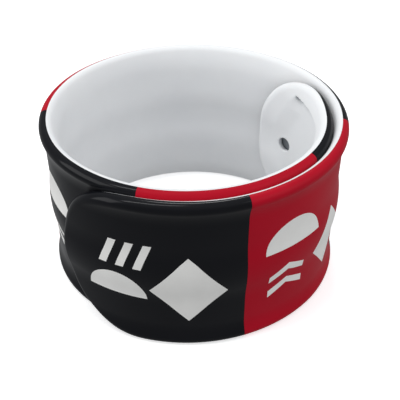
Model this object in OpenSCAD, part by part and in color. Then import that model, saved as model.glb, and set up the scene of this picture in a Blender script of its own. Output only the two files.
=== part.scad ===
// A slap bracelet of silicone over a spring strip, snapped into a coil of a turn and a half.
// The coil stands on its edge: Z runs along its axis, and the origin is the centre of its
// footprint. Lengths along the band count from the outer end, round the coil, to the inner end.

/* [Band] */
// Width of the band, which is the height of the coil
band_w = 30; // [28:0.5:32]
// Thickness of the wall: a white liner and a coloured skin
wall_t = 2.3; // [1.8:0.1:2.4]
// Length of each colour block of the skin, from the outer end to the inner end
block_l = [31, 27, 38, 38, 28, 29, 31]; // [25:0.5:40]
// How square the corners of both ends are, where 2 makes each end a half circle
corner_n = 2.35; // [2:0.05:3]

/* [Wall section] */
// How far each rim turns out past the hollow beside it
rim_flare = 0.65; // [0.3:0.05:0.9]
// Height over which a rim turns out
rim_turn_h = 3.2; // [2.5:0.1:4]
// How far the middle of the wall swells out from the hollows
crown = 0.5; // [0.2:0.05:0.7]
// Distance from mid height to where each hollow is deepest
crown_h = 6; // [4:0.5:8]

/* [Coil] */
// Radius of each quarter turn, from the outer end: front, right, back, left, front, right
quarter_r = [27.1, 21.8, 25.8, 20.4, 24.6, 18.6]; // [18:0.1:30]
// Direction in which the outer end lies, seen from the middle of the coil
tip_a = 224.4; // [215:0.1:235]
// How far the inner end climbs above the rest of the coil
climb = 1.2; // [0:0.1:2]
// Length over which it climbs
climb_l = 31; // [20:1:40]

/* [Spring] */
// Width of the spring strip
spring_w = 20; // [16:1:22]
// Thickness of the spring strip
spring_t = 0.2; // [0.1:0.05:0.3]

/* [Inner end] */
// Diameter of the locating hole in the liner
hole_d = 2.8; // [2:0.1:4]
// Distance from the inner end to the middle of the hole
hole_in = 6.6; // [6:0.1:10]
// Distance from the inner end to the shallow recess round the hole
recess_in = 3.6; // [3:0.1:5]
// Distance from the inner end to where the recess has run out
recess_out = 21.7; // [18:0.1:26]
// Distance from mid height to the recess's long edges
recess_h = 12.2; // [10:0.1:13]
// Radius of the recess's round edge, which meets the long edges in a point
recess_r = 16; // [14:0.5:20]

/* [Hidden] */
$fn = 96;
// Clear space between the liner and the skin, and between one colour block and the next
seam = 0.06;
// Clear space round the spring strip in its pocket
spring_play = 0.07;
// The hole's cylinder is turned on its axis, so that its seam keeps off the crown's ridge line
hole_turn = 50;
// Width of the slope round the recess's edge, and the length over which it runs out
recess_edge = 1;
recess_fade = 3;
// How far the recess's floor lies below the crown of the liner
recess_floor = 0.25;
// Longest step between two sections of the band
step_l = 3.6;
// Where sections cross a rounded end, as angles round its half circle
end_angles = [4, 10, 18, 27, 37, 49, 61, 73, 82];
// Points across half a face, as shares of the way from the middle to the edge
face_cols = [0, 0.2, 0.37, 0.55, 0.71, 0.79, 0.86, 0.9236, 0.955, 0.975, 0.99, 1];
// Points across half the spring strip, as shares of its half width
spring_cols = [0, 0.55, 1];
// Width of the step up from the spring's pocket to the seam
pocket_step = 0.15;
// Where the seam leaves the wall's middle for the rim's top, as a share of the half width
seam_turn = 0.93;

black = "#1d1f23";
red = "#c4182c";
white = "#eef0f0";
steel = "#8d9196";

// The section's S-bend from crown to hollow, and the arc that turns each rim out
crown_a = 2 * atan(crown / crown_h);
bend_r = crown_h / (2 * sin(crown_a));
flare_a = 2 * atan(rim_flare / rim_turn_h);
flare_r = rim_turn_h / sin(flare_a);
rim_r = wall_t / 2;
rim_y = band_w / 2 - rim_r;
// The parting seam's share of the rim's round, as an angle
seam_a = asin(seam / 2 / rim_r);

// Lengths along the section from mid height to where each of its bends ends
bend_p = bend_r * crown_a * PI / 180;
hollow_p = 2 * bend_p;
straight_p = hollow_p + rim_y - rim_turn_h - crown_h;
flare_p = straight_p + flare_r * flare_a * PI / 180;
half_p = flare_p + rim_r;

total_l = sum(block_l, len(block_l));
last = len(quarter_r) - 1;

// Sum of a list's first n values
function sum(list, n) = n == 0 ? 0 : list[n - 1] + sum(list, n - 1);

// A list back to front
function reversed(list) = [for (i = [len(list) - 1:-1:0]) list[i]];

// Where quarter turn i starts, as a direction and as a length along the band
function start_a(i) = i == 0 ? tip_a : 225 + 90 * i;
function start_l(i) = i == 0 ? 0
    : start_l(i - 1) + (start_a(i) - start_a(i - 1)) * PI / 180 * quarter_r[i - 1];

// Centre of quarter turn i: each turn carries on from the one before without a kink
function turn_c(i) = i == 0 ? [0, 0]
    : turn_c(i - 1) + (quarter_r[i - 1] - quarter_r[i]) * [cos(start_a(i)), sin(start_a(i))];

start_ls = [for (i = [0:last]) start_l(i)];
turn_cs = [for (i = [0:last]) turn_c(i)];

// Centre of the outermost turn's footprint
foot_c = [
    (turn_cs[1][0] + quarter_r[1] + turn_cs[3][0] - quarter_r[3]) / 2,
    (turn_cs[2][1] + quarter_r[2] + turn_cs[0][1] - quarter_r[0]) / 2];

// The quarter turn on which length l lies, and the direction there
function turn_at(l) = max([for (i = [0:last]) if (i == 0 || start_ls[i] <= l) i]);
function angle_at(l) =
    let (i = turn_at(l))
    start_a(i) + (l - start_ls[i]) / quarter_r[i] * 180 / PI;

// The wall's middle line, p along it from mid height: its offset out, its height and its lean
function middle(p) =
    p <= bend_p ? let (a = p / bend_r * 180 / PI)
        [bend_r * (cos(a) - 1), bend_r * sin(a), -a]
    : p <= hollow_p ? let (a = (hollow_p - p) / bend_r * 180 / PI)
        [bend_r * (1 - cos(a)) - crown, crown_h - bend_r * sin(a), -a]
    : p <= straight_p ? [-crown, crown_h + p - hollow_p, 0]
    : let (a = min((p - straight_p) / flare_r * 180 / PI, flare_a), rest = max(p - flare_p, 0))
        [flare_r * (1 - cos(a)) - crown + rest * sin(a),
            rim_y - rim_turn_h + flare_r * sin(a) + rest * cos(a), a];

// Height of the band's mid line at length l
function middle_z(l) = band_w / 2 + climb * pow(max(l - total_l + climb_l, 0) / climb_l, 2);

// The point at length l, p up or down the section, and h out from the wall's middle
function wall_point(l, p, h) =
    let (i = turn_at(l), a = angle_at(l), c = turn_cs[i] - foot_c, m = middle(abs(p)),
        r = quarter_r[i] + m[0] + h * cos(m[2]), y = m[1] - h * sin(m[2]))
    [c[0] + r * cos(a), c[1] + r * sin(a), middle_z(l) + (p < 0 ? -y : y)];

// How far length l lies from the nearer end of the band, up to where the rounding starts
function end_gap(l) = min(l, total_l - l, half_p);

// For the squared circle of the ends: the radius through a point, and the side left at side a
function corner_radius(a, b) = pow(pow(a, corner_n) + pow(abs(b), corner_n), 1 / corner_n);
function corner_side(r, a) = pow(max(pow(r, corner_n) - pow(a, corner_n), 0), 1 / corner_n);

// Half the band's width at length l, for a strip rounded about the same centre as the band
function half_at(l, half_w) = corner_side(half_w, half_p - end_gap(l));

// A point on a layer's face: flat inside, and round at the rim up to the parting line. That line
// runs along the top of the rim, so where the rim leans out the skin covers more than a quarter
// round and the liner less.
function face_point(l, p, side, dent) =
    let (from = half_p - end_gap(l), d = half_p - corner_radius(from, p))
    d >= rim_r ? wall_point(l, p, side * (rim_r - dent))
    : let (lean = max(middle(half_at(l, half_p))[2], 0),
        full = 90 + side * lean - seam_a,
        first = asin(max(1 - end_gap(l) / rim_r, 0)),
        bend = first + (asin(min(1 - d / rim_r, 1)) - first) * (full - first) / (90 - first),
        moved = corner_side(half_p - rim_r * (1 - sin(bend)), from))
    wall_point(l, p < 0 ? -moved : moved, side * rim_r * cos(bend));

// Lengths at which sections are taken from l0 to l1, closer together round an end
function inner_lengths(l0, l1) =
    let (n = ceil((l1 - l0) / step_l))
    [for (j = [0:n]) l0 + (l1 - l0) * j / n];
end_lengths = [for (a = end_angles) half_p * (1 - cos(a))];
function block_lengths(k, gap) =
    let (l0 = sum(block_l, k), l1 = sum(block_l, k + 1))
    k == 0 ? concat(end_lengths, inner_lengths(half_p, l1 - gap))
    : k == len(block_l) - 1
        ? concat(inner_lengths(l0 + gap, total_l - half_p), [for (l = reversed(end_lengths)) total_l - l])
    : inner_lengths(l0 + gap, l1 - gap);
band_lengths = [for (k = [0:len(block_l) - 1], l = block_lengths(k, 0))
    if (k == 0 || l > sum(block_l, k)) l];

// Both halves of a row of columns, from the lower edge to the upper
function mirrored(cols) = concat([for (c = reversed(cols)) -c], [for (c = cols) if (c > 0) c]);

// The back of a layer, where it meets the other layer: the seam, with the spring's pocket in it
function back_row(l, side) =
    let (edge = half_at(l, half_p), spring_edge = half_at(l, spring_w / 2),
        w = spring_edge > 0 ? spring_edge : edge / 2,
        low = seam / 2,
        high = spring_edge > 0 ? spring_t / 2 + spring_play : low,
        pocket = [for (c = spring_cols) [c * w, high]],
        half = concat(pocket, [[w + pocket_step * edge / half_p, low], [seam_turn * edge, low]]),
        row = concat([for (c = reversed(half)) [-c[0], c[1]]], [for (c = half) if (c[0] > 0) c]))
    [for (c = row) wall_point(l, c[0], side * c[1])];

// How far inside the recess's edges a point of the liner lies
function inside_recess(l, p) =
    let (in = total_l - l)
    min(recess_h - abs(p), recess_r - norm([in - recess_in - recess_r, p]),
        (recess_out - in) * recess_edge / recess_fade);

// Depth of the recess. Its floor is round about the coil, so it runs out on the crown.
function recess_depth(l, p) =
    min(max(inside_recess(l, p) / recess_edge, 0), 1) * (recess_floor - middle(abs(p))[0]);

// The face of a layer across the band at length l, with the recess in the liner's face
function face_row(l, side) =
    let (edge = half_at(l, half_p))
    [for (c = mirrored(face_cols))
        let (p = c * edge)
        face_point(l, p, side, side < 0 ? recess_depth(l, p) : 0)];

// A closed solid through rings of equal length, each a front row and a back row of points.
// The first and last ring are closed by triangles that zip their two rows together.
module skinned(fronts, backs, flipped) {
    nf = len(fronts[0]);
    nb = len(backs[0]);
    n = nf + nb;
    rings = len(fronts);
    points = [for (k = [0:rings - 1]) each concat(fronts[k], reversed(backs[k]))];
    sides = [for (k = [0:rings - 2], j = [0:n - 1])
        let (a = n * k + j, b = n * k + (j + 1) % n)
        each [[a, b, b + n], [a, b + n, a + n]]];
    match = [for (i = [0:nf - 1]) round(i * (nb - 1) / (nf - 1))];
    zip = [for (i = [0:nf - 2])
        let (g0 = n - 1 - match[i], g1 = n - 1 - match[i + 1])
        each concat([[i, g0, i + 1]], g0 == g1 ? [] : [[i + 1, g0, g1]])];
    top = n * (rings - 1);
    faces = concat(sides, zip, [for (t = zip) [t[2] + top, t[1] + top, t[0] + top]]);
    polyhedron(points, flipped ? [for (f = faces) reversed(f)] : faces);
}

// A layer of the wall through sections at the given lengths: side 1 is the skin, -1 the liner
module layer(lengths, side) {
    skinned([for (l = lengths) face_row(l, side)], [for (l = lengths) back_row(l, side)], side < 0);
}

// Stands children up on the wall's middle surface at length l, looking outward along +Z
module on_wall(l) {
    translate(turn_cs[turn_at(l)] - foot_c)
        rotate(angle_at(l))
            translate([quarter_r[turn_at(l)], 0, middle_z(l)])
                rotate([90, 0, 90])
                    children();
}

// White silicone next to the wrist, running up both rims to the parting line
module liner() {
    color(white)
        difference() {
            layer(band_lengths, -1);
            on_wall(total_l - hole_in)
                translate([0, 0, -wall_t])
                    rotate(hole_turn)
                        cylinder(d = hole_d, h = wall_t);
        }
}

// Bistable steel strip, sealed in between the liner and the skin
module spring_strip() {
    lengths = [for (l = band_lengths) if (half_at(l, spring_w / 2) > 0) l];
    rows = function (h)
        [for (l = lengths) [for (c = mirrored(spring_cols)) wall_point(l, c * half_at(l, spring_w / 2), h)]];
    color(steel)
        skinned(rows(spring_t / 2), rows(-spring_t / 2), false);
}

// One block of the coloured silicone skin, counted from the outer end
module skin_block(k, shade) {
    color(shade)
        layer(block_lengths(k, seam / 2), 1);
}

liner();
spring_strip();
for (k = [0:len(block_l) - 1])
    skin_block(k, k % 2 == 0 ? black : red);
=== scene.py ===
import math

import bmesh
import bpy
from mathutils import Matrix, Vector


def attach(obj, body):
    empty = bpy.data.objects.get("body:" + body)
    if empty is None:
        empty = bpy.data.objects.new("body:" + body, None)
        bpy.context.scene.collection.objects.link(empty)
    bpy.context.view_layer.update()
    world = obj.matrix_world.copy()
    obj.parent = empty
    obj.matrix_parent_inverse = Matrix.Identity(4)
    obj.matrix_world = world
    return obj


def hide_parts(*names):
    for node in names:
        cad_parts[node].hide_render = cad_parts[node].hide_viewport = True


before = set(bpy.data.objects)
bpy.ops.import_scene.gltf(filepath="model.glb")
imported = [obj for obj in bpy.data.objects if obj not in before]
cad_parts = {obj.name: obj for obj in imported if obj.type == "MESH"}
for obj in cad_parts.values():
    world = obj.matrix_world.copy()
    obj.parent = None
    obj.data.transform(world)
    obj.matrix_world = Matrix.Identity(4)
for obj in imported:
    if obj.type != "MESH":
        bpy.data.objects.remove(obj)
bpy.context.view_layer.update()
mm = 0.001

# Liner
# The white silicone layer next to the wrist, one moulding from end to end of the band. It runs
# up both rims to the parting line, where the coloured skin is moulded onto it. Near the inner
# end the mould left a locating hole and a shallow pointed recess.
band_width = 30 * mm
wall = 2.3 * mm
# Pieces that are bonded to each other stay this far apart
parting = 0.02 * mm
block_lengths = [31 * mm, 27 * mm, 38 * mm, 38 * mm, 28 * mm, 29 * mm, 31 * mm]
# The coil is six arcs of a quarter turn, which meet on its diagonals. It starts at the outer end,
# close to the first diagonal, and the inner end climbs a little above the rest.
quarter_radii = [27.1 * mm, 21.8 * mm, 25.8 * mm, 20.4 * mm, 24.6 * mm, 18.6 * mm]
outer_end_direction = math.radians(224.4)
first_diagonal = 225
climb = 1.2 * mm
climb_length = 31 * mm
corner_squareness = 2.35
# The wall is crowned at mid height, hollow above and below the crown, and flared at the rims
crown = 0.5 * mm
crown_height = 6 * mm
rim_flare = 0.65 * mm
rim_turn_height = 3.2 * mm
spring_width = 20 * mm
spring_thickness = 0.2 * mm
spring_play = 0.07 * mm

band_length = sum(block_lengths)
rim_radius = wall / 2
rim_height = band_width / 2 - rim_radius
crown_angle = 2 * math.atan(crown / crown_height)
bend_radius = crown_height / (2 * math.sin(crown_angle))
flare_angle = 2 * math.atan(rim_flare / rim_turn_height)
flare_radius = rim_turn_height / math.sin(flare_angle)
bend_reach = bend_radius * crown_angle
straight_reach = 2 * bend_reach + rim_height - rim_turn_height - crown_height
flare_reach = straight_reach + flare_radius * flare_angle
half_reach = flare_reach + rim_radius


def coil_turns():
    """Start length, start direction, centre and radius of each quarter turn of the coil."""
    turns = []
    length = 0
    centre = Vector((0, 0))
    for i, radius in enumerate(quarter_radii):
        start = outer_end_direction if i == 0 else math.radians(first_diagonal + 90 * i)
        if turns:
            before = turns[-1]
            length = before[0] + (start - before[1]) * before[3]
            centre = before[2] + (before[3] - radius) * Vector((math.cos(start), math.sin(start)))
        turns.append((length, start, centre, radius))
    footprint = Vector((
        (turns[1][2].x + quarter_radii[1] + turns[3][2].x - quarter_radii[3]) / 2,
        (turns[2][2].y + quarter_radii[2] + turns[0][2].y - quarter_radii[0]) / 2))
    return [(length, start, centre - footprint, radius) for length, start, centre, radius in turns]


turns = coil_turns()


def wall_middle(reach):
    """Offset out, height and lean of the wall's middle line, at a reach along it from mid height.

    The line bends in from the crown and back again, runs straight, and turns out at the rim.
    """
    if reach <= bend_reach:
        lean = reach / bend_radius
        return bend_radius * (math.cos(lean) - 1), bend_radius * math.sin(lean), -lean
    if reach <= 2 * bend_reach:
        lean = (2 * bend_reach - reach) / bend_radius
        offset = bend_radius * (1 - math.cos(lean)) - crown
        return offset, crown_height - bend_radius * math.sin(lean), -lean
    if reach <= straight_reach:
        return -crown, crown_height + reach - 2 * bend_reach, 0
    lean = min((reach - straight_reach) / flare_radius, flare_angle)
    rest = max(reach - flare_reach, 0)
    offset = flare_radius * (1 - math.cos(lean)) - crown + rest * math.sin(lean)
    height = rim_height - rim_turn_height + flare_radius * math.sin(lean) + rest * math.cos(lean)
    return offset, height, lean


def band_point(length, across, out):
    """The place at a length along the band, across it from mid height, and out from its middle."""
    start_length, start, centre, radius = [turn for turn in turns if turn[0] <= max(length, 0)][-1]
    direction = start + (length - start_length) / radius
    offset, height, lean = wall_middle(abs(across))
    reach = radius + offset + out * math.cos(lean)
    rise = math.copysign(height - out * math.sin(lean), across)
    climbed = climb * (max(length - band_length + climb_length, 0) / climb_length) ** 2
    return Vector((centre.x + reach * math.cos(direction), centre.y + reach * math.sin(direction),
                   band_width / 2 + climbed + rise))


def corner_radius(along, across):
    """Radius of the squared circle through a point: both ends of the band follow such circles."""
    return (along ** corner_squareness + abs(across) ** corner_squareness) ** (1 / corner_squareness)


def corner_side(radius, along):
    """How far across a squared circle reaches at a distance along from its centre."""
    return max(radius ** corner_squareness - along ** corner_squareness, 0) ** (1 / corner_squareness)


def half_width(length, strip_width):
    """Half a strip's width at a length: its ends are round about the same centres as the band's."""
    from_end = min(length, band_length - length, half_reach)
    return corner_side(strip_width, half_reach - from_end)


# Where the parting line wanders over the rim: place along the band, reach each way and turn out
parting_wander = [(12 * mm, 22 * mm, math.radians(-30)), (40 * mm, 26 * mm, math.radians(-16)),
                  (90 * mm, 45 * mm, math.radians(26)),
                  (138 * mm, 25 * mm, math.radians(-8)), (216 * mm, 14 * mm, math.radians(30))]
wander_steady = 5 * mm


def wander_out(length):
    """How far round the rim the parting line has wandered towards the outside at a length."""
    steady = min(length / wander_steady, (band_length - length) / wander_steady, 1)
    return steady * sum(turn * (1 + math.cos(math.pi * min(abs(length - place) / reach, 1))) / 2
                        for place, reach, turn in parting_wander)


def face_place(length, across, side, depth=0):
    """The place on a layer's face: flat inside, and round at the rim up to the parting line.

    The parting line runs along the top of the rim, so where the rim leans out the skin covers
    more than a quarter round and the liner less.
    """
    from_end = min(length, band_length - length, half_reach)
    from_centre = half_reach - from_end
    from_edge = half_reach - corner_radius(from_centre, across)
    if from_edge >= rim_radius:
        return band_point(length, across, side * (rim_radius - depth))
    lean = max(wall_middle(half_width(length, half_reach))[2], 0)
    full = math.pi / 2 + side * (lean - wander_out(length)) - parting / wall
    first = math.asin(min(max(1 - from_end / rim_radius, 0), 1))
    bend = math.asin(min(1 - from_edge / rim_radius, 1))
    bend = first + (bend - first) * (full - first) / (math.pi / 2 - first)
    moved = corner_side(half_reach - rim_radius * (1 - math.sin(bend)), from_centre)
    return band_point(length, math.copysign(moved, across), side * rim_radius * math.cos(bend))


# The hole with its soft mouth, and the recess: its reach along the band is from the inner end, and
# its height is from the band's middle
hole_radius = 1.4 * mm
hole_round = 0.2 * mm
hole_length = band_length - 6.6 * mm
recess_from_end = 3.6 * mm
recess_out = 21.7 * mm
recess_fade = 3 * mm
recess_height = 12.2 * mm
recess_radius = 16 * mm
recess_floor = 0.25 * mm
recess_slope = 0.15 * mm
recess_round_slope = 4 * mm
recess_softened = 3 * mm


def recess_depth(length, across):
    """Depth of the shallow recess round the hole.

    Its long edges are crisp steps. Its round edge follows the end, meets them in a point, and
    softens away from that point. Its floor is round about the coil and fades out along the band.
    """
    from_end = band_length - length
    from_long = recess_height - abs(across)
    from_round = recess_radius - math.hypot(from_end - recess_from_end - recess_radius, across)
    softened = min(max(from_long / recess_softened, 0), 1)
    round_slope = recess_slope + (recess_round_slope - recess_slope) * softened
    share = min(max(from_round / round_slope, 0), 1)
    share = share * share * (3 - 2 * share) * min(max(from_long / recess_slope, 0), 1)
    fade = min(max((recess_out - from_end) / recess_fade, 0), 1)
    depth = recess_floor - wall_middle(abs(across))[0]
    return share * fade * depth


# Columns of faces across half the band, and stations along it, which lie closer at the recess
face_columns = 28
edge_columns = 20
edge_share = 0.74
rim_columns = 9
station_gap = 0.7 * mm
end_stations = 60
close_from = 5 * mm
close_to = 24 * mm
sharp_angle = math.radians(40)


def across_shares():
    """Columns of the face as shares of the half width, closer by the recess's edge and the rim."""
    inner = 1 - rim_radius / half_reach
    face = [edge_share * i / face_columns for i in range(face_columns)]
    face += [edge_share + (inner - edge_share) * i / edge_columns for i in range(edge_columns + 1)]
    rim = [1 - (rim_radius / half_reach) * (1 - math.cos(math.radians(90 * (1 - i / rim_columns))))
           for i in range(1, rim_columns + 1)]
    half = face + rim
    return [-share for share in reversed(half[1:])] + half


def stations(start, end):
    """Lengths at which the band is cut into sections, closer round its ends and by the recess."""
    lengths = []
    round_end = [half_reach * (1 - math.cos(math.pi / 2 * i / end_stations))
                 for i in range(1, end_stations)]
    if start <= 0:
        lengths += round_end
        start = half_reach
    last = band_length - half_reach if end >= band_length else end
    count = math.ceil((last - start) / station_gap)
    lengths += [start + (last - start) * i / count for i in range(count + 1)]
    if end >= band_length:
        lengths += [band_length - length for length in reversed(round_end)]
        lengths += [(a + b) / 2 for a, b in zip(lengths, lengths[1:])
                    if close_from < band_length - b and band_length - a < close_to]
    return sorted(lengths)


def silicone_layer(name, lengths, side, dent=None):
    """One layer of the wall as a closed mesh: side 1 is the skin and side -1 the liner."""
    rings = []
    shares = across_shares()
    back_shares = [share for share in shares[::2] if abs(share) < 1 - rim_radius / half_reach]
    for length in lengths:
        edge = half_width(length, half_reach)
        spring_edge = half_width(length, spring_width / 2)
        pocket = spring_thickness / 2 + spring_play if spring_edge > 0 else parting / 2
        face = []
        back = []
        for share in shares:
            across = share * edge
            face.append(face_place(length, across, side, dent(length, across) if dent else 0))
        for share in back_shares:
            across = share * edge
            out = pocket if abs(across) < spring_edge + 2 * spring_play else parting / 2
            back.append(band_point(length, across, side * out))
        rings.append(face + back[::-1])
    return closed_tube(name, rings)


def closed_tube(name, rings):
    """A closed mesh through rings of places, with faces from ring to ring and over both ends."""
    mesh = bmesh.new()
    rings = [[mesh.verts.new(place) for place in ring] for ring in rings]
    for ring, beyond in zip(rings, rings[1:]):
        for i in range(len(ring)):
            j = (i + 1) % len(ring)
            mesh.faces.new((ring[i], ring[j], beyond[j], beyond[i]))
    mesh.faces.new(rings[0][::-1])
    mesh.faces.new(rings[-1])
    bmesh.ops.recalc_face_normals(mesh, faces=mesh.faces)
    return finished(name, mesh)


def finished(name, mesh):
    """Put a mesh into the scene, smooth except where it turns sharply."""
    data = bpy.data.meshes.new(name)
    mesh.to_mesh(data)
    mesh.free()
    data.shade_smooth()
    data.set_sharp_from_angle(angle=sharp_angle)
    piece = bpy.data.objects.new(name, data)
    bpy.context.scene.collection.objects.link(piece)
    return piece


hole_sides = 64
mouth_steps = 6
pin_below = 0.6 * mm
pin_above = 0.3 * mm


def cut_locating_hole(piece):
    """Cut the round hole with its soft mouth through the liner, down to the spring."""
    middle = band_point(hole_length, 0, 0)
    mouth = rim_radius
    inward = (band_point(hole_length, 0, -mouth) - middle).normalized()
    turn = inward.to_track_quat("Z", "Y").to_matrix()
    profile = [(hole_radius, -pin_below), (hole_radius, mouth - hole_round)]
    for i in range(1, mouth_steps + 1):
        bend = math.pi / 2 * i / mouth_steps
        profile.append((hole_radius + hole_round * (1 - math.cos(bend)),
                        mouth - hole_round * (1 - math.sin(bend))))
    profile.append((hole_radius + 2 * hole_round, mouth + pin_above))
    rings = []
    for radius, height in profile:
        angles = [2 * math.pi * i / hole_sides for i in range(hole_sides)]
        round_ring = [Vector((radius * math.cos(a), radius * math.sin(a), height)) for a in angles]
        rings.append([middle + turn @ place for place in round_ring])
    cutter = closed_tube("moulding_pin", rings)
    cut = piece.modifiers.new("cut", "BOOLEAN")
    cut.operation = "DIFFERENCE"
    cut.solver = "EXACT"
    cut.object = cutter
    evaluated = piece.evaluated_get(bpy.context.evaluated_depsgraph_get())
    data = bpy.data.meshes.new_from_object(evaluated)
    piece.modifiers.clear()
    piece.data = data
    bpy.data.objects.remove(cutter)


def linear(code):
    """An sRGB hex colour as linear red, green, blue and alpha."""
    parts = [int(code[i:i + 2], 16) / 255 for i in (1, 3, 5)]
    return [p / 12.92 if p <= 0.04045 else ((p + 0.055) / 1.055) ** 2.4 for p in parts] + [1]


def add(tree, kind, inputs, stops=(), **settings):
    """Add a node with its settings, and with a value or a link for each named input.

    A colour ramp also gets its stops, which are places and colours in order.
    """
    made = tree.nodes.new(kind)
    for name, value in settings.items():
        setattr(made, name, value)
    for name, value in inputs.items():
        if isinstance(value, bpy.types.NodeSocket):
            tree.links.new(value, made.inputs[name])
        else:
            made.inputs[name].default_value = value
    for i, (position, colour) in enumerate(stops):
        stop = made.color_ramp.elements[i] if i < 2 else made.color_ramp.elements.new(position)
        stop.position = position
        stop.color = colour
    return made


def material(name):
    """A new material, and its node tree, which is empty."""
    made = bpy.data.materials.new(name)
    made.use_nodes = True
    made.node_tree.nodes.clear()
    return made, made.node_tree


# Painted shade: the white silicone is greyed along creases and edges where a nearby surface shuts it
# in. This draws the dark shadow line at the recess's edge.
# Each row is how open the surface is, from 0 to 1, and the share of painted shade on it.
crease_reach = 1.5 * mm
crease_shade_shares = [(0.45, 0), (0.62, 0.8), (0.8, 0.8), (0.96, 0)]
unshaded_round_hole = 2 * mm


def painted_crease_shade(tree, place, unshaded_colour):
    """Painted shade: the given colour greyed where an edge close by shuts the surface in, but not in
    the hole.
    """
    hole = band_point(hole_length, 0, -rim_radius)
    from_hole = add(tree, "ShaderNodeVectorMath", {0: place, 1: hole}, operation="DISTANCE")
    outside = add(tree, "ShaderNodeMath", {0: from_hole.outputs["Value"], 1: unshaded_round_hole},
                  operation="GREATER_THAN")
    open_share = add(tree, "ShaderNodeAmbientOcclusion", {"Distance": crease_reach},
                     samples=16, only_local=True)
    shade_amount = add(tree, "ShaderNodeValToRGB", {"Fac": open_share.outputs["AO"]},
               stops=[(openness, [share, share, share, 1]) for openness, share in crease_shade_shares])
    shade_amount = add(tree, "ShaderNodeMath", {0: shade_amount.outputs["Color"], 1: outside.outputs["Value"]},
               operation="MULTIPLY")
    painted_shade = add(tree, "ShaderNodeMix", {"Factor": shade_amount.outputs["Value"]}, data_type="RGBA")
    tree.links.new(unshaded_colour, painted_shade.inputs["A"])
    # The grey of the painted shade
    painted_shade.inputs["B"].default_value = linear("#4e5862")
    return painted_shade.outputs["Result"]


# A satin mould face gives silicone fine matt grain; handling leaves wide faint patches
grain_size = 0.35 * mm
patch_size = 14 * mm
# A worn mould face is smooth in places, and leaves a thin sharp gleam over the satin
gleam_roughness = 0.1


def moulded_silicone(name, colour, patch_colour, roughness, gloss_level,
                     glow=0.0, gleam=0.0, painted_shade=False):
    """Compression moulded silicone rubber: a soft satin gloss over a fine grain.

    Pale silicone lets a little light through, which softens its shade, and that is its glow.
    """
    made, tree = material(name)
    place = add(tree, "ShaderNodeTexCoord", {}).outputs["Object"]
    grain = add(tree, "ShaderNodeTexNoise", {
        "Vector": place, "Scale": 1 / grain_size, "Detail": 3.0}).outputs["Fac"]
    patches = add(tree, "ShaderNodeTexNoise", {
        "Vector": place, "Scale": 1 / patch_size, "Detail": 4.0}).outputs["Fac"]
    shown = add(tree, "ShaderNodeValToRGB", {"Fac": patches}, stops=[
        (0.35, linear(colour)), (0.7, linear(patch_colour))]).outputs["Color"]
    # Painted shade, grey along creases and edges, for the white silicone only
    if painted_shade:
        shown = painted_crease_shade(tree, place, shown)
    gloss = add(tree, "ShaderNodeMapRange", {
        "Value": patches, "To Min": roughness - 0.05, "To Max": roughness + 0.07})
    bump = add(tree, "ShaderNodeBump", {"Height": grain, "Strength": 0.25, "Distance": 0.02 * mm})
    surface = add(tree, "ShaderNodeBsdfPrincipled", {
        "Base Color": shown, "Roughness": gloss.outputs["Result"], "Normal": bump.outputs["Normal"],
        "IOR": 1.41, "Specular IOR Level": gloss_level,
        "Coat Weight": gleam, "Coat Roughness": gleam_roughness, "Subsurface Weight": glow,
        "Subsurface Radius": (1.0, 0.9, 0.85), "Subsurface Scale": 0.5 * mm})
    add(tree, "ShaderNodeOutputMaterial", {"Surface": surface.outputs["BSDF"]})
    return made


# The white silicone carries painted shade along its creases and edges
white_silicone = moulded_silicone("white_moulded_silicone", "#f8f9fa", "#f3f4f6",
                                  roughness=0.42, gloss_level=0.4, glow=0.08, painted_shade=True)

liner = silicone_layer("white_liner", stations(0, band_length), -1, recess_depth)
cut_locating_hole(liner)
liner.data.materials.clear()
liner.data.materials.append(white_silicone)
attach(liner, "root")
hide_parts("liner")

# Spring strip
# Bistable strip of cold rolled spring steel, sealed between the liner and the skin. It holds the
# band flat or coiled, and shows only as a dark disc at the bottom of the locating hole.
roll_line_width = 0.12 * mm
strip_columns = 25


def rolled_steel():
    """Cold rolled spring steel: dull grey metal with fine lines along the strip."""
    made, tree = material("cold_rolled_spring_steel")
    place = add(tree, "ShaderNodeTexCoord", {}).outputs["Object"]
    stretched = add(tree, "ShaderNodeMapping", {
        "Vector": place, "Scale": (0.04, 0.04, 1.0)}).outputs["Vector"]
    lines = add(tree, "ShaderNodeTexNoise", {
        "Vector": stretched, "Scale": 1 / roll_line_width, "Detail": 2.0}).outputs["Fac"]
    gloss = add(tree, "ShaderNodeMapRange", {"Value": lines, "To Min": 0.28, "To Max": 0.5})
    bump = add(tree, "ShaderNodeBump", {"Height": lines, "Strength": 0.2, "Distance": 0.01 * mm})
    surface = add(tree, "ShaderNodeBsdfPrincipled", {
        "Base Color": linear("#8d9196"), "Metallic": 1.0, "Roughness": gloss.outputs["Result"],
        "Normal": bump.outputs["Normal"]})
    add(tree, "ShaderNodeOutputMaterial", {"Surface": surface.outputs["BSDF"]})
    return made


def steel_strip():
    """The strip as a closed mesh on the wall's middle surface, round at both ends."""
    rings = []
    for length in stations(0, band_length):
        edge = half_width(length, spring_width / 2)
        if edge == 0:
            continue
        row = [edge * (2 * i / (strip_columns - 1) - 1) for i in range(strip_columns)]
        outside = [band_point(length, across, spring_thickness / 2) for across in row]
        inside = [band_point(length, across, -spring_thickness / 2) for across in reversed(row)]
        rings.append(outside + inside)
    return closed_tube("spring_steel_strip", rings)


strip = steel_strip()
strip.data.materials.append(rolled_steel())
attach(strip, "root")
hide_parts("spring_strip")

# Skin blocks
# The coloured outer layer, black and red silicone in turn, each block moulded against the last
# so that the colours meet in a straight crisp line across the band. The layer is bonded to the
# liner and rounds over both rims to the parting line.
black_silicone = moulded_silicone("black_moulded_silicone", "#0c0d12", "#0f1015",
                                  roughness=0.3, gloss_level=0.05, gleam=0.28)
red_silicone = moulded_silicone("red_moulded_silicone", "#ba0f27", "#b10e24",
                                roughness=0.42, gloss_level=0.12, glow=0.02)

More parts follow.
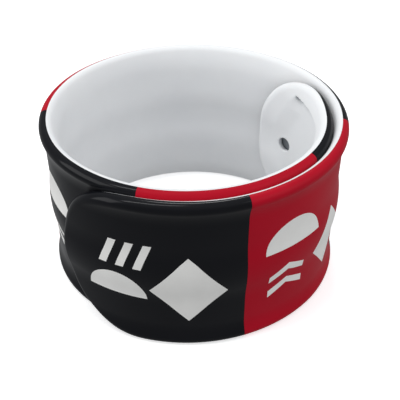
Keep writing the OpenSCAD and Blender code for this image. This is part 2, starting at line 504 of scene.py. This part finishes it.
block_names = ["black_block_1", "red_block_1", "black_block_2", "red_block_2",
               "black_block_3", "red_block_3", "black_block_4"]
block_starts = [sum(block_lengths[:i]) for i in range(len(block_lengths))]
for name, start, length in zip(block_names, block_starts, block_lengths):
    end = start + length
    first = start + parting / 2 if start > 0 else 0
    last = end - parting / 2 if end < band_length - parting else band_length
    block = silicone_layer("skin_" + name, stations(first, last), 1)
    is_black = name.startswith("black")
    block.data.materials.append(black_silicone if is_black else red_silicone)
    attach(block, "root")
    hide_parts(name)

# Printed motifs
# White silicone ink, screen printed on the finished skin and cured to a thin film. Each block
# carries a few plain figures: a lozenge, a half disc, leaning bars and a chevron.
ink_film = 0.05 * mm
ink_sunk = 0.03 * mm
ink_grid = 1.0 * mm
half_disc_sides = 28
bar_width = 1.3 * mm
bar_lean = 0.35
chevron_arm = 0.45


def lozenge(width, height):
    return [(-width / 2, 0), (0, -height / 2), (width / 2, 0), (0, height / 2)]


def half_disc(width, height):
    angles = [math.pi * i / half_disc_sides for i in range(half_disc_sides + 1)]
    return [(width / 2 * math.cos(a), height * math.sin(a) - height / 2) for a in angles]


def leaning_bar(width, height):
    lean = height * bar_lean
    return [(-width / 2 - lean / 2, -height / 2), (width / 2 - lean / 2, -height / 2),
            (width / 2 + lean / 2, height / 2), (-width / 2 + lean / 2, height / 2)]


def chevron(width, height):
    thick = height * chevron_arm
    return [(-width / 2, -height / 2), (0, height / 2 - thick), (width / 2, -height / 2),
            (width / 2, -height / 2 + thick), (0, height / 2), (-width / 2, -height / 2 + thick)]


def three_bars(along, gap, across, height):
    """Three leaning bars in a row, as three rows of a layout."""
    return [(leaning_bar, along + gap * i, across, bar_width, height) for i in range(3)]


def printed(name, start, figures):
    """All the figures on one block as one ink film, laid on the skin's outer face."""
    mesh = bmesh.new()
    for outline, along, across, width, height in figures:
        mesh.faces.new([mesh.verts.new((start + along + x, across + y, 0))
                        for x, y in outline(width, height)])
    bmesh.ops.triangulate(mesh, faces=mesh.faces)
    spans = [(0, min(v.co.x for v in mesh.verts), max(v.co.x for v in mesh.verts)),
             (1, min(v.co.y for v in mesh.verts), max(v.co.y for v in mesh.verts))]
    for axis, low, high in spans:
        normal = [1 if axis == i else 0 for i in range(3)]
        for i in range(math.ceil(low / ink_grid), math.floor(high / ink_grid) + 1):
            cut = [i * ink_grid if axis == j else 0 for j in range(3)]
            whole = mesh.verts[:] + mesh.edges[:] + mesh.faces[:]
            bmesh.ops.bisect_plane(mesh, geom=whole, dist=1e-7, plane_co=cut, plane_no=normal)
    bmesh.ops.recalc_face_normals(mesh, faces=mesh.faces)
    bmesh.ops.solidify(mesh, geom=mesh.faces, thickness=ink_film)
    low = min(v.co.z for v in mesh.verts)
    for vertex in mesh.verts:
        out = rim_radius - ink_sunk + (vertex.co.z - low)
        vertex.co = band_point(vertex.co.x, vertex.co.y, out)
    bmesh.ops.recalc_face_normals(mesh, faces=mesh.faces)
    return finished(name, mesh)


# The ink dries in clouds a few millimetres wide, and keeps the grit of the screen's mesh
ink_cloud_size = 3 * mm
ink_grit_size = 0.2 * mm


def screen_ink():
    """White silicone ink: flatter and duller than the moulded liner, with a faint grit."""
    made, tree = material("white_silicone_ink")
    place = add(tree, "ShaderNodeTexCoord", {}).outputs["Object"]
    clouds = add(tree, "ShaderNodeTexNoise", {
        "Vector": place, "Scale": 1 / ink_cloud_size, "Detail": 3.0}).outputs["Fac"]
    grit = add(tree, "ShaderNodeTexNoise", {
        "Vector": place, "Scale": 1 / ink_grit_size, "Detail": 2.0}).outputs["Fac"]
    shade = add(tree, "ShaderNodeValToRGB", {"Fac": clouds}, stops=[
        (0.3, linear("#f6f5f2")), (0.75, linear("#fbfaf7"))]).outputs["Color"]
    bump = add(tree, "ShaderNodeBump", {"Height": grit, "Strength": 0.3, "Distance": 0.01 * mm})
    surface = add(tree, "ShaderNodeBsdfPrincipled", {
        "Base Color": shade, "Roughness": 0.55, "Normal": bump.outputs["Normal"], "IOR": 1.41})
    add(tree, "ShaderNodeOutputMaterial", {"Surface": surface.outputs["BSDF"]})
    return made


white_ink = screen_ink()
# Figure, place along the block, place across the band, width and height
wide_layout = [
    (lozenge, 27 * mm, 2.5 * mm, 13 * mm, 14 * mm),
    (half_disc, 12.5 * mm, -4.5 * mm, 12 * mm, 6 * mm),
    *three_bars(9.5 * mm, 3 * mm, 5.5 * mm, 5.5 * mm),
    (chevron, 27 * mm, -8 * mm, 8 * mm, 3.6 * mm),
]
short_layout = [
    (half_disc, 8.5 * mm, 5 * mm, 11 * mm, 5.5 * mm),
    (lozenge, 18.5 * mm, -3 * mm, 10 * mm, 13 * mm),
    (chevron, 7.5 * mm, -2.5 * mm, 7 * mm, 3.2 * mm),
    (chevron, 7.5 * mm, -6 * mm, 7 * mm, 3.2 * mm),
]
outer_end_layout = [
    (lozenge, 22 * mm, -2.5 * mm, 12 * mm, 14 * mm),
    (half_disc, 10.5 * mm, -2.5 * mm, 10 * mm, 5 * mm),
    *three_bars(9.5 * mm, 2.8 * mm, 4 * mm, 5 * mm),
]
# The inner end has the outer end's figures in the opposite order
turned_length = 31.5 * mm
inner_end_layout = [(outline, turned_length - along, across, width, height)
                    for outline, along, across, width, height in outer_end_layout]
layouts = [outer_end_layout, short_layout, wide_layout, wide_layout, short_layout, short_layout,
           inner_end_layout]
for name, start, figures in zip(block_names, block_starts, layouts):
    film = printed("print_on_" + name, start, figures)
    film.data.materials.append(white_ink)
    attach(film, "root")

# Floor
# A wide sheet of white studio paper that the band stands on. It is lit evenly from behind, so the
# only shade on it is the soft one close under the band.
floor_reach = 20
paper_tooth = 1 * mm
floor_mesh = bmesh.new()
bmesh.ops.create_grid(floor_mesh, x_segments=2, y_segments=2, size=floor_reach)
floor = finished("studio_paper", floor_mesh)


def studio_paper():
    """Matt white paper with a faint tooth."""
    made, tree = material("matt_white_paper")
    place = add(tree, "ShaderNodeTexCoord", {}).outputs["Object"]
    tooth = add(tree, "ShaderNodeTexNoise", {
        "Vector": place, "Scale": 1 / paper_tooth, "Detail": 2.0}).outputs["Fac"]
    bump = add(tree, "ShaderNodeBump", {"Height": tooth, "Strength": 0.05, "Distance": 0.01 * mm})
    surface = add(tree, "ShaderNodeBsdfPrincipled", {
        "Base Color": linear("#f6f6f6"), "Roughness": 0.9, "Normal": bump.outputs["Normal"],
        "Emission Color": linear("#ffffff"), "Emission Strength": 0.5})
    add(tree, "ShaderNodeOutputMaterial", {"Surface": surface.outputs["BSDF"]})
    return made


floor.data.materials.append(studio_paper())
floor.visible_diffuse = False
floor.visible_glossy = False

# Light
# A pale room, brighter above, with weak soft boxes: a long narrow one overhead on the left, which
# gives the rims their gleam, a small one behind and a square one on each side.
room = bpy.data.worlds.new("pale_room")
room.use_nodes = True
room_tree = room.node_tree
room_tree.nodes.clear()
toward = add(room_tree, "ShaderNodeTexCoord", {}).outputs["Generated"]
height = add(room_tree, "ShaderNodeSeparateXYZ", {"Vector": toward}).outputs["Z"]
strength = add(room_tree, "ShaderNodeMapRange", {
    "Value": height, "From Min": 0.3, "From Max": 0.95, "To Min": 0.41, "To Max": 0.8})
walls = add(room_tree, "ShaderNodeBackground", {
    "Color": linear("#f2f4f6"), "Strength": strength.outputs["Result"]})
add(room_tree, "ShaderNodeOutputWorld", {"Surface": walls.outputs["Background"]})
bpy.context.scene.world = room
bpy.context.scene.view_settings.view_transform = "Standard"


def soft_box(name, place, width, length, watts):
    """A soft box aimed at the band's middle height. The length of a high one runs left to right."""
    lamp = bpy.data.lights.new(name, "AREA")
    lamp.shape = "RECTANGLE"
    lamp.size = width
    lamp.size_y = length
    lamp.energy = watts
    box = bpy.data.objects.new(name, lamp)
    box.location = place
    aim = Vector((0, 0, band_width / 2)) - Vector(place)
    box.rotation_euler = aim.to_track_quat("-Z", "Y").to_euler()
    bpy.context.scene.collection.objects.link(box)


soft_box("overhead", (-0.15, -0.05, 0.5), 0.05, 0.3, 0.45)
soft_box("behind", (0.0, 0.35, 0.42), 0.1, 0.1, 0.4)
soft_box("from_right", (0.35, -0.15, 0.25), 0.3, 0.3, 0.4)
soft_box("from_left", (-0.4, -0.1, 0.2), 0.3, 0.3, 0.62)

# Camera
# At the photograph's height and angle: about 40 degrees above the floor, square to the front. It
# stands close, so the near rim looks clearly wider than the far one.
camera_pitch = math.radians(39.82)
camera_distance = 135.1 * mm
looked_at = Vector((1.09 * mm, 0.36 * mm, 10.85 * mm))
lens = bpy.data.cameras.new("camera")
lens.lens = 66.6
lens.sensor_width = 36
lens.clip_start = 0.005
camera = bpy.data.objects.new("camera", lens)
back = Vector((0, -math.cos(camera_pitch), math.sin(camera_pitch)))
camera.location = looked_at + camera_distance * back
camera.rotation_euler = back.to_track_quat("Z", "Y").to_euler()
bpy.context.scene.collection.objects.link(camera)
bpy.context.scene.camera = camera
